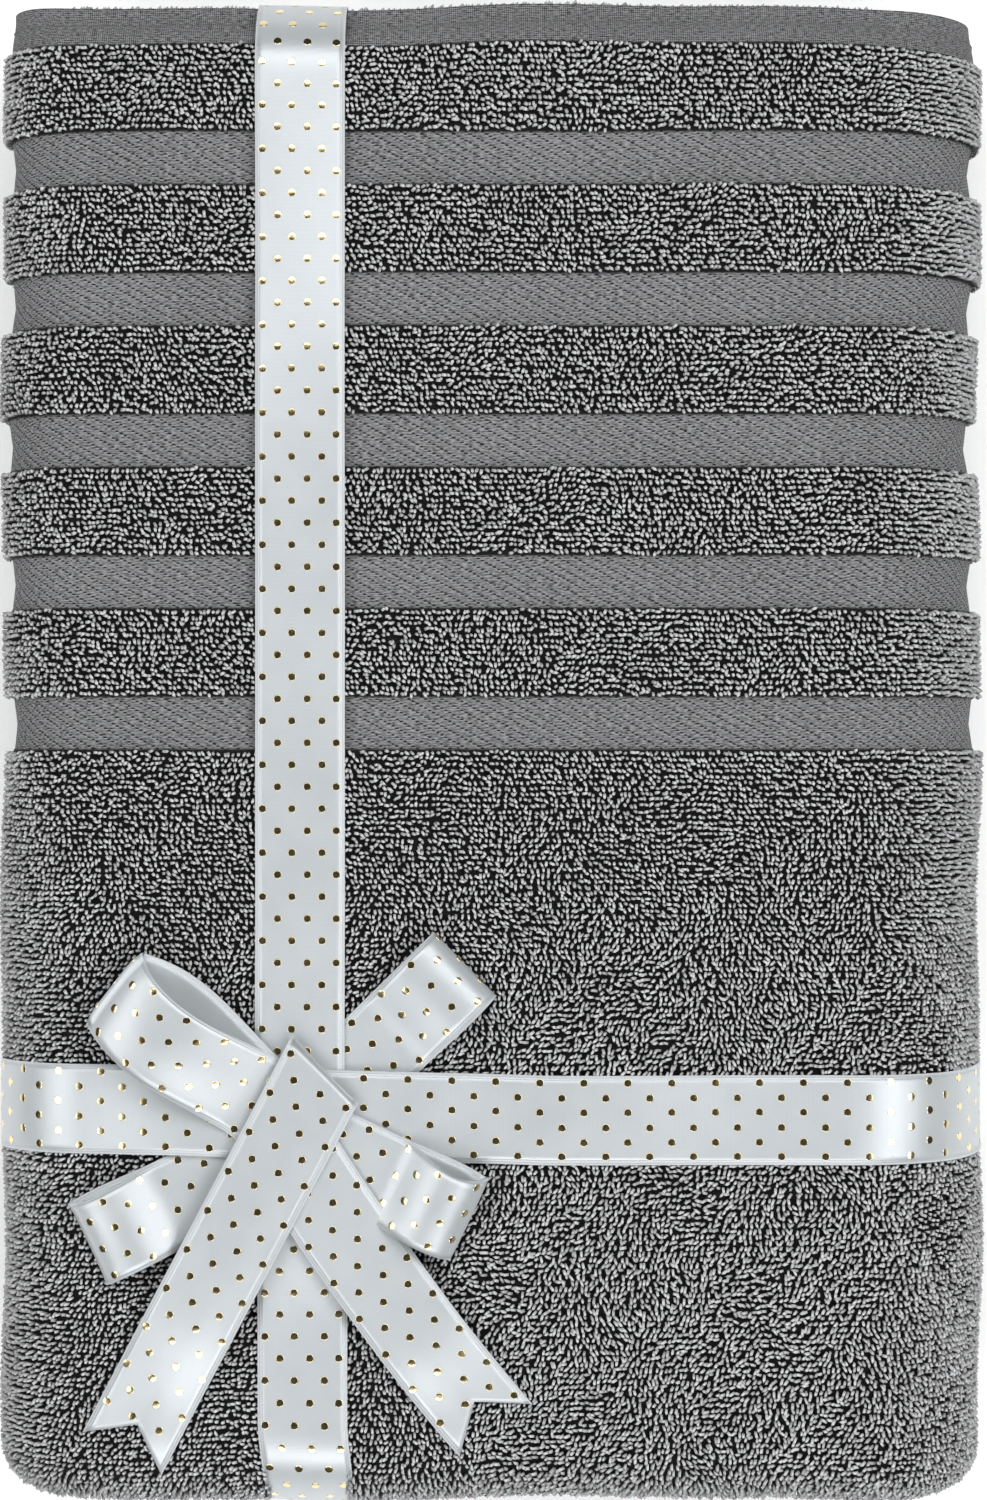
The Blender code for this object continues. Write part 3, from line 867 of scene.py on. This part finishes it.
# Satin ribbon: a sheet through rows of points of its middle surface
ribbon = {
    "thickness": 0.0004,
    "across": 10,
    "bead": 0.35,
    "dotRadius": 0.00104,
    "dotHeight": 0.00009,
    "dotSides": 12,
    "dotRings": ((1.0, 0.0), (0.95, 0.85), (0.84, 1.0), (0.0, 1.0)),  # shares of radius and height
    "dotRow": 0.0054,
    "dotRows": ((0.0056, 0.0130, 0.0202), (0.0021, 0.0092, 0.0165)),
    "bakeRows": 6,
}
halfThick = ribbon["thickness"] / 2


def gridNormals(grid, closed):
    if closed:
        around = np.concatenate([grid[-1:], grid, grid[:1]])
        along = around[2:] - around[:-2]
    else:
        along = np.gradient(grid, axis=0)
    normal = np.cross(np.gradient(grid, axis=1), along)
    return normal / np.maximum(np.linalg.norm(normal, axis=-1, keepdims=True), 1e-12)


class Strip:
    first = 0.0

    def __init__(self, name, grid, closed=False, phase=0.0):
        self.name, self.middle, self.closed, self.phase = name, grid, closed, phase
        self.shares = np.linspace(0, 1, grid.shape[1])
        self.normals = gridNormals(grid, closed)
        centre = grid[:, grid.shape[1] // 2]
        self.run = runOf(centre)
        self.total = self.run[-1] + (np.linalg.norm(centre[0] - centre[-1]) if closed else 0)
        self.long = self.total

    def at(self, run, share, height):
        # points on the outer side
        n = len(self.run)
        runs, middle, normals = self.run, self.middle, self.normals
        if self.closed:
            runs = np.append(runs, self.total)
            middle = np.concatenate([middle, middle[:1]])
            normals = np.concatenate([normals, normals[:1]])
            n += 1
        run = np.clip(run, 0, runs[-1] - 1e-9)
        k = np.clip(np.searchsorted(runs, run, side="right") - 1, 0, n - 2)
        f = ((run - runs[k]) / (runs[k + 1] - runs[k]))[:, None]
        column = np.clip(share, 0, 1) * ribbon["across"]
        c = np.clip(column.astype(int), 0, ribbon["across"] - 1)
        g = (column - c)[:, None]

        def read(table):
            first = table[k, c] * (1 - g) + table[k, c + 1] * g
            second = table[k + 1, c] * (1 - g) + table[k + 1, c + 1] * g
            return first * (1 - f) + second * f

        way = read(normals)
        way /= np.linalg.norm(way, axis=1)[:, None]
        return read(middle) + way * (halfThick + height)[:, None]

    def sheet(self, finish):
        rows, columns = self.middle.shape[:2]
        bead = 1 + ribbon["bead"] * np.exp(-(((np.abs(2 * self.shares - 1) - 0.99) / 0.05) ** 2))
        lift = self.normals * (halfThick * bead)[None, :, None]
        points = np.concatenate([(self.middle + lift).reshape(-1, 3), (self.middle - lift).reshape(-1, 3)])
        top = np.arange(rows * columns).reshape(rows, columns)
        if self.closed:
            top = np.concatenate([top, top[:1]])
        low = top + rows * columns
        quads = [
            np.stack([top[:-1, :-1], top[:-1, 1:], top[1:, 1:], top[1:, :-1]], axis=-1).reshape(-1, 4),
            np.stack([low[:-1, :-1], low[1:, :-1], low[1:, 1:], low[:-1, 1:]], axis=-1).reshape(-1, 4),
            np.stack([top[:-1, 0], top[1:, 0], low[1:, 0], low[:-1, 0]], axis=-1),
            np.stack([top[:-1, -1], low[:-1, -1], low[1:, -1], top[1:, -1]], axis=-1),
        ]
        if not self.closed:
            quads.append(np.stack([top[0, :-1], low[0, :-1], low[0, 1:], top[0, 1:]], axis=-1))
            quads.append(np.stack([top[-1, :-1], top[-1, 1:], low[-1, 1:], low[-1, :-1]], axis=-1))
        made = makeMesh(self.name, settle(points), np.concatenate(quads))
        index = cornerVertices(made.data)
        flat = index % (rows * columns)
        row, column = flat // columns, flat % columns
        under = index // (rows * columns)
        runs = self.run[row].reshape(-1, 4)
        if self.closed:
            wrapped = (runs.max(axis=1) - runs.min(axis=1)) > self.total / 2
            runs = np.where(wrapped[:, None] & (runs < self.total / 2), runs + self.total, runs)
        share = self.shares[column].reshape(-1, 4)
        width = np.linalg.norm(self.middle[:, 0] - self.middle[:, -1], axis=1)[row].reshape(-1, 4)
        place = np.stack([(share - 0.5) * np.minimum(width, ribbonWidth * 1.01), runs], axis=-1)
        writeUv(made.data, "cut", place.reshape(-1, 2))
        lanes = ribbon["bakeRows"]
        lane = np.floor(np.minimum(runs.mean(axis=1), self.long * 0.9999) / (self.long / lanes))[:, None]
        inLane = runs / (self.long / lanes) - lane
        side = under.reshape(-1, 4).min(axis=1)[:, None]
        u = 0.004 + 0.97 * np.clip(inLane, -0.02, 1.02) * 0.98 + 0.012
        v = (lane + 0.06 + side * 0.46 + 0.40 * share) / lanes
        writeUv(made.data, "OFBake", np.stack([u, v], axis=-1).reshape(-1, 2))
        made.data.materials.append(finish)
        return made

    def allowed(self, run, share):
        return True

    def dots(self, finish):
        # raised foil dots in the ribbon's printed order
        centres = []
        spare = 0.001 if self.closed else ribbon["dotRadius"]
        for k in range(-1, int(self.total / ribbon["dotRow"]) + 2):
            run = self.phase + k * ribbon["dotRow"]
            for place in ribbon["dotRows"][k % 2]:
                inside = self.first + spare < run < self.total - spare
                if inside and self.allowed(run, place / ribbonWidth):
                    centres.append((run, place / ribbonWidth))
        run, share = np.array(centres).T
        sides = ribbon["dotSides"]
        points = []
        for radius, height in ribbon["dotRings"]:
            r = radius * ribbon["dotRadius"]
            for s in range(sides if r else 1):
                turn = 2 * math.pi * s / sides
                raised = np.full(len(run), height * ribbon["dotHeight"])
                along, across = r * math.sin(turn), r * math.cos(turn) / ribbonWidth
                points.append(self.at(run + along, share + across, raised))
        points = np.stack(points, axis=1)
        faces = [copies(f, *points.shape[:2]) for f in tubeFaces(3, sides)]
        made = makeMesh(self.name + "Dots", settle(points.reshape(-1, 3)), *faces)
        made.data.materials.append(finish)
        return made


def arcPoints(centreA, centreB, reachA, reachB, start, end, steps):
    turns = np.radians(np.linspace(start, end, steps + 1))
    return np.stack([centreA + reachA * np.cos(turns), centreB + reachB * np.sin(turns)], axis=-1)


wraps = {
    "underLevel": 0.0659,
    "longLevel": 0.0670,
    "crossLevel": 0.0677,
    "humpFlat": 0.028,
    "humpSlope": 0.026,
    "longBend": 0.0158,
    "longFoot": 0.011,
    "crossFoot": 0.008,
    "crossFloor": 0.0001,
    "longFloor": 0.0008,
    "clear": 0.0003,
    "spacing": 0.0024,
    "crossTilt": -0.0030,  # how much lower the right end lies than the left one
}


def rise(distance, height):
    return height * (1 - smooth((np.abs(distance) - wraps["humpFlat"]) / wraps["humpSlope"]))


def spreadEvenly(path):
    # the same closed line with points at an even spacing
    closed = np.concatenate([path, path[:1]])
    run = runOf(closed)
    count = int(run[-1] / wraps["spacing"])
    places = np.arange(count) * run[-1] / count
    return np.stack([np.interp(places, run, closed[:, k]) for k in range(2)], axis=-1)


def ruled(left, right, cup):
    # rows from edge to edge, raised in the middle by cup
    shares = np.linspace(0, 1, ribbon["across"] + 1)
    line = left[:, None, :] * (1 - shares)[None, :, None] + right[:, None, :] * shares[None, :, None]
    crown = (1 - (2 * shares - 1) ** 2) ** 2
    return line + gridNormals(line, True) * (cup[:, None] * crown[None, :])[..., None]


def longWrap():
    side = halfLength + wraps["clear"] + halfThick
    top = wraps["underLevel"] + halfThick
    low = wraps["longFloor"] + halfThick
    bend, foot = wraps["longBend"], wraps["longFoot"]
    path = [arcPoints(side - bend, low + foot, bend, foot, -90, 0, 10)]
    path.append(arcPoints(side - bend, top - bend, bend, bend, 0, 90, 14))
    flat = np.linspace(side - bend, bend - side, 150)[1:-1]
    hump = rise(flat - knot[1], wraps["longLevel"] - wraps["underLevel"])
    path.append(np.stack([flat, top + hump], axis=-1))
    path.append(arcPoints(bend - side, top - bend, bend, bend, 90, 180, 14))
    path.append(arcPoints(bend - side, low + foot, bend, foot, 180, 270, 10))
    y, z = spreadEvenly(np.concatenate(path)).T
    pinch = 1 - 0.10 * smooth((-y - 0.176) / 0.014) * smooth(z / 0.03)  # drawn in where it leaves the pack
    reach = ribbonWidth / 2 * pinch
    x = knot[0] + drift(y)
    left, right = (np.stack([x + way * reach, y, z], axis=-1) for way in (1, -1))
    cup = np.where(z > 0.05, 0.00028 + 0.00018 * np.sin(y * 60), 0.0)
    return Strip("ribbonLong", ruled(left, right, cup), True)


def crossWrap():
    side = cloth["width"] / 2 + wraps["clear"] + halfThick
    top = wraps["underLevel"] + halfThick
    low = wraps["crossFloor"] + halfThick
    middle = packTop / 2
    reach = side - rightX
    path = [arcPoints(rightX, middle, reach, middle - low, -90, 0, 14)]
    path.append(arcPoints(rightX, middle, reach, top - middle, 0, 90, 14)[1:])
    flat = np.linspace(rightX, leftX, 84)[1:-1]
    hump = rise(flat - knot[0], wraps["crossLevel"] - wraps["underLevel"])
    path.append(np.stack([flat, top + hump], axis=-1))
    leftZ, foot = 2 * slab - skin, wraps["crossFoot"]
    path.append(arcPoints(leftX, leftZ, side + leftX, top - leftZ, 90, 180, 16))
    path.append(arcPoints(foot - side, low + foot, foot, foot, 180, 270, 8))
    x, z = spreadEvenly(np.concatenate(path)).T
    y = knot[1] + wraps["crossTilt"] * np.clip((x - knot[0]) / 0.1, -0.3, 0.6) * smooth((z - 0.02) / 0.04)
    left, right = (np.stack([x, y + way * ribbonWidth / 2, z], axis=-1) for way in (-1, 1))
    cup = np.where(z > 0.05, 0.00025 + 0.00015 * np.sin(x * 55 + 1), 0.0)
    return Strip("ribbonCross", ruled(left, right, cup), True)


# Bow, seen from above: angles in degrees from +X, distances in metres from the knot
lobes = {
    "bow_loop_upper_left": {
        "angle": 142.1, "leftRoot": 0.0101, "rightRoot": 0.0135, "tip": 0.0552, "offset": 0.0033,
        "height": 0.0080, "base": 0.0684, "drop": 0.0004, "slip": 0.0031, "pull": 0.0038, "swing": 0.0026,
        "lens": -1, "corner": 0.0009, "plump": 1.0, "band": ["bow_band_over"],
    },
    "bow_loop_lower_right": {
        "angle": -25.5, "leftRoot": 0.0140, "rightRoot": 0.0395, "tip": 0.0485, "offset": -0.0052,
        "height": 0.0068, "base": 0.0684, "drop": 0.0004, "slip": 0.0004, "pull": 0.0026, "swing": 0.0006,
        "lens": 1, "corner": 0.0003, "plump": 0.9, "band": [],
    },
    "bow_loop_upper_right": {
        "angle": 44.5, "leftRoot": 0.0298, "rightRoot": 0.0298, "tip": 0.0544, "offset": -0.0023,
        "height": 0.0056, "base": 0.0659, "drop": 0.0, "slip": 0.0005, "pull": 0.0006, "swing": 0.0,
        "lens": -1, "corner": 0.0, "plump": 0.45, "band": ["bow_band_under"],
    },
    "bow_loop_lower_left": {
        "angle": 206.0, "leftRoot": 0.0423, "rightRoot": 0.0353, "tip": 0.0605, "offset": 0.0061,
        "height": 0.0056, "base": 0.0659, "drop": 0.0, "slip": 0.0004, "pull": 0.0010, "swing": 0.0,
        "lens": -1, "corner": -0.0004, "plump": 0.5, "band": [],
    },
}
loopStart = -0.001  # where the lower leaf begins, under the knot
loopSteps = 26
loopPeak = 0.62  # how far out a loop is highest
loopPhase = 0.0031
upperCrown = 0.0007  # how much a leaf of the loop rises between its edges
lowerCrown = 0.00014


def pieceName(node):
    first, *rest = node.split("_")
    return first + "".join(word.capitalize() for word in rest)


def plan(angle, distance, sideways):
    turn = math.radians(angle)
    x = knot[0] + distance * math.cos(turn) - sideways * math.sin(turn)
    y = knot[1] + distance * math.sin(turn) + sideways * math.cos(turn)
    return np.array([x, y])


def lobeStrip(node):
    # lower leaf from under the knot out to the tip, round it, and the upper leaf back
    shape, thick = lobes[node], ribbon["thickness"]
    rootMean = (shape["leftRoot"] + shape["rightRoot"]) / 2
    rootShare = (rootMean - loopStart) / (shape["tip"] - loopStart)
    shares = [1 - (1 - k / loopSteps) ** 1.25 for k in range(loopSteps + 1)]
    inner = shape["height"] - 2 * thick
    rows = []
    for upper, order in ((False, shares), (True, shares[::-1])):
        for share in order:
            inLobe = max(0.0, (share - rootShare) / (1 - rootShare))
            fall = max(0.0, (inLobe - loopPeak) / (1 - loopPeak))
            swell = math.sin(math.pi * min(0.5, inLobe / (2 * loopPeak))) ** 1.3
            if fall > 0:
                swell = math.sqrt(max(0.0, 1 - fall**2.6))
            gap = inner * swell
            level = inner * 0.5 * fall**2 * shape["plump"]
            if upper:
                level = max(gap, level) + thick
            elif fall > 0.97:
                level = min(gap, level)
            z = shape["base"] + halfThick + level - shape["drop"] * inLobe**2
            bulge = math.sin(math.pi * min(1.0, inLobe**1.5)) ** 0.8
            row = []
            for column in range(ribbon["across"] + 1):
                s = column / ribbon["across"]
                seen = s if shape["lens"] > 0 else 1 - s  # one at the edge where the lower leaf shows
                shift = shape["slip"] * seen
                if upper:
                    shift = -(shape["pull"] * seen + shape["swing"] * (1 - seen))
                reach = shape["tip"] - shape["corner"] * abs(2 * s - 1) ** 5 - loopStart
                sideways = shape["offset"] + ribbonWidth * (s - 0.5) + shape["lens"] * bulge * shift
                place = plan(shape["angle"], loopStart + reach * share, sideways)
                crown = math.sin(math.pi * inLobe) * (1 - (2 * s - 1) ** 2) ** 2
                crown *= upperCrown if upper else lowerCrown
                edge = 0.0008 * bulge * seen if upper else 0.0
                row.append((*place, z + (crown + edge) * shape["plump"]))
            rows.append(row)
    return Strip(pieceName(node), np.array(rows), phase=loopPhase)


tails = {
    "bow_tail_right": {
        "angle": -54.3, "tip": 0.0915, "offset": -0.0065, "notch": 0.0091, "level": 0.044, "down": 0.086,
        "root": 0.0695, "bend": -0.0015, "steps": 50, "phase": 0.0060, "begin": 0.004, "hinge": 0.0250,
        "covers": "bow_tail_right_root",
    },
    "bow_tail_left": {
        "angle": -117.9, "tip": 0.0945, "offset": 0.0004, "notch": 0.0086, "level": 0.037, "down": 0.089,
        "root": 0.0702, "bend": 0.0, "steps": 60, "phase": -0.0124, "begin": None, "hinge": 0.0,
        "covers": "bow_knot",
    },
}
foldRows = 14  # the part of the left tail that is folded under at its crease
creaseStart = (-0.0106, -0.0157)  # sideways and along the left tail, at the apex
creaseEnd = (0.0114, -0.0088)


def tailHeight(shape, distance):
    share = float(smooth((distance - shape["level"]) / (shape["down"] - shape["level"])))
    ripple = 0.0009 * math.sin((distance - shape["level"]) * 75) * math.sin(math.pi * share)
    return shape["root"] + (wraps["underLevel"] - shape["root"]) * share + ripple + 0.0001


class TailStrip(Strip):
    # rows run from a slanted crease to a notched end, and dots keep to the ribbon's own lattice
    def __init__(self, name, grid, phase, begins, reaches, crease):
        super().__init__(name, grid, phase=phase)
        self.begins, self.reaches, self.crease = np.array(begins), np.array(reaches), crease
        self.total, self.first = self.reaches.max(), self.begins.min()

    def fit(self, run, share):
        begin = np.interp(share, self.shares, self.begins)
        reach = np.interp(share, self.shares, self.reaches)
        return (run - begin) / (reach - begin)

    def at(self, run, share, height):
        steps = len(self.run) - 1 - self.crease
        rows = self.crease + np.clip(self.fit(run, share), 0, 1) * steps
        return super().at(np.interp(rows, np.arange(len(self.run)), self.run), share, height)

    def allowed(self, run, share):
        spare = ribbon["dotRadius"] * 0.75 / self.total
        return spare < float(self.fit(run, share)) < 1 - spare


def foldedUnder(back, begin, apex, root):
    # place along and height of the ribbon behind the crease
    radius = 0.0006 + 0.0010 * apex**4
    turn = min(1.0, back * 2.2) * math.pi
    distance = begin + 0.0009 - (0.0009 + radius * 0.4) * math.sin(turn) + max(0, back - 0.45) * 0.014
    return distance, root - 0.0002 + radius * math.cos(turn) * 0.6


def tailStrip(node):
    shape = tails[node]
    folded = shape["begin"] is None
    rows, begins, reaches = [], [], []
    for k in range(-foldRows if folded else 0, shape["steps"] + 1):
        t = k / shape["steps"]
        row = []
        for c in range(ribbon["across"] + 1):
            s = c / ribbon["across"]
            sideways = shape["offset"] + ribbonWidth / 2 * (1 - 2 * s)
            begin, apex = shape["begin"], 0.0
            if folded:
                f = (sideways - creaseStart[0]) / (creaseEnd[0] - creaseStart[0])
                begin = creaseStart[1] + (creaseEnd[1] - creaseStart[1]) * f
                apex = max(0.0, 1 - f)
            reach = shape["tip"] + shape["notch"] * (abs(2 * s - 1) - 1)
            if k == 0:
                begins.append(begin)
                reaches.append(reach)
            if k < 0:
                distance, z = foldedUnder(-k / foldRows, begin, apex, shape["root"])
            else:
                distance = begin + (reach - begin) * t
                z = tailHeight(shape, distance) + halfThick
                z += 0.0006 * (1 - (2 * s - 1) ** 2) ** 2 * float(smooth(t * 4))
                if folded:
                    z += (0.0005 + 0.0011 * apex**4) * math.exp(-(((distance - begin) / 0.0035) ** 2))
                    z -= (0.0004 + 0.0009 * apex**4) * max(0.0, 1 - k / 3) ** 2
            shift = shape["bend"] * 4 * t * (1 - t) if k > 0 else 0
            row.append((*plan(shape["angle"], distance, sideways + shift), z))
        rows.append(row)
    crease = foldRows if folded else 0
    return TailStrip(pieceName(node), np.array(rows), shape["phase"], begins, reaches, crease)


def showRibbon(strip, nodes, blendTo=None):
    piece, dots = strip.sheet(satinFinish), strip.dots(foilFinish)
    for part in (piece, dots):
        if blendTo is None:
            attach(part, pack)
        else:
            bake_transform(part)
    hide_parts(*nodes)
    faces = 3 * ribbon["dotSides"]
    print(f"{piece.name}: {strip.long:.3f} m long, {len(dots.data.polygons) // faces} dots")


def makeFloor():
    deselect()
    bpy.ops.mesh.primitive_plane_add(size=studio["floorSize"], location=(0, 0, 0))
    floor = bpy.context.active_object
    floor.name = "floor"
    floor.data.materials.append(floorPaint())
    floor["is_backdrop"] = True


def loopHinge(node):
    # body, and the places just before and after the line where a loop leaves its band
    shape = lobes[node]
    left = plan(shape["angle"], shape["leftRoot"], shape["offset"] + ribbonWidth / 2)
    right = plan(shape["angle"], shape["rightRoot"], shape["offset"] - ribbonWidth / 2)
    middle = (left + right) / 2
    line = right - left
    ahead = np.array([line[1], -line[0]]) / np.linalg.norm(line)
    if ahead @ (plan(shape["angle"], 1, 0) - knot) < 0:
        ahead = -ahead
    z = shape["base"] + 0.0008
    return node[4:], (*(middle - ahead * 0.0015), z), (*(middle + ahead * 0.004), z)


def tailHinge(node):
    shape = tails[node]
    z = shape["root"] + 0.0004
    ends = [plan(shape["angle"], shape["hinge"] + d, shape["offset"]) for d in (-0.001, 0.012)]
    return node[4:], *((*end, z) for end in ends)


setCamera()
setLights()
makeFloor()
terryFinish, wovenFinish, threadFinish = terryPaint(), clothPaint(), threadPaint()
satinFinish, foilFinish = satinPaint(), foilPaint()

pack = "towel_pack"
towel = makeCloth(wovenFinish)
print("cloth", len(towel.data.polygons), "faces")
carpets = makeTerry(terryFinish)
for made in [towel, *carpets]:
    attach(made, pack)
print("terry", len(carpets), "pieces,", sum(len(c.data.polygons) for c in carpets), "faces")

hems = []
for name, layer, droop in (("Outer", 1, cloth["hemDroop"]), ("Inner", 2, cloth["innerDroop"])):
    stitches = makeStitches("hemStitching" + name, layer, droop, threadFinish)
    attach(stitches, pack)
    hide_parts("hem_stitching_" + name.lower())
    hems.append(stitches)
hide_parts("folded_towel")
carpets + hems
print("stitching done")

showRibbon(longWrap(), ["ribbon_wrap_long"])
showRibbon(crossWrap(), ["ribbon_wrap_cross"])
for node, shape in lobes.items():
    showRibbon(lobeStrip(node), [node, *shape["band"]], loopHinge(node))
for node, shape in tails.items():
    showRibbon(tailStrip(node), [node, shape["covers"]], tailHinge(node))
print("ribbon done")

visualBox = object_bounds()
boxes = [[[float(v) for v in corner] for corner in box] for box in (cadBox, visualBox)]
